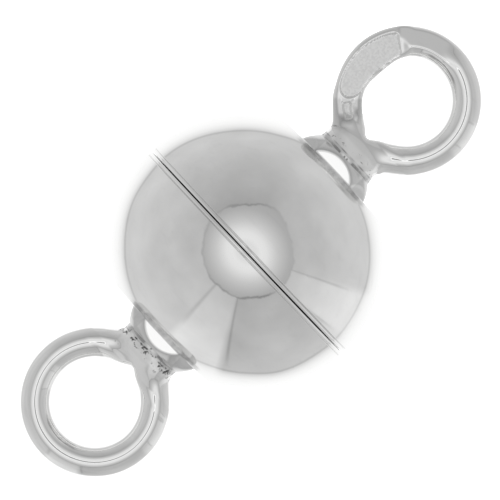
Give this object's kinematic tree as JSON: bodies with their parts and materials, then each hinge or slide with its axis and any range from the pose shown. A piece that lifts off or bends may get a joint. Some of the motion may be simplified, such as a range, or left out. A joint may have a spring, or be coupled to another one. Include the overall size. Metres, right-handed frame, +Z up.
{
  "type": "magnetic ball clasp",
  "caption": "Round magnetic ball clasp of domed silver halves that meet at a seam, with a six-sided foot and a soldered ring eye at either end.",
  "frame": {"origin": "on the surface that the clasp lies on, under the middle of its outline", "axes": "+X from the lower eye towards the upper eye, +Y across the eyes towards the upper eye's pressed stretch, +Z up"},
  "size_m": [0.015, 0.008, 0.008],
  "materials": {
    "silver": "mirror polished, with fine handling marks",
    "magnet": "satin nickel plate"
  },
  "bodies": {
    "lower": {"lower_half": "silver", "lower_magnet": "magnet"},
    "upper": {"upper_half": "silver", "upper_magnet": "magnet"}
  },
  "joints": [
    {"name": "pull_apart", "type": "slide", "parent": "lower", "child": "upper", "axis": [0.8937, 0, 0.4486], "range_m": [0, 0.012]}
  ]
}
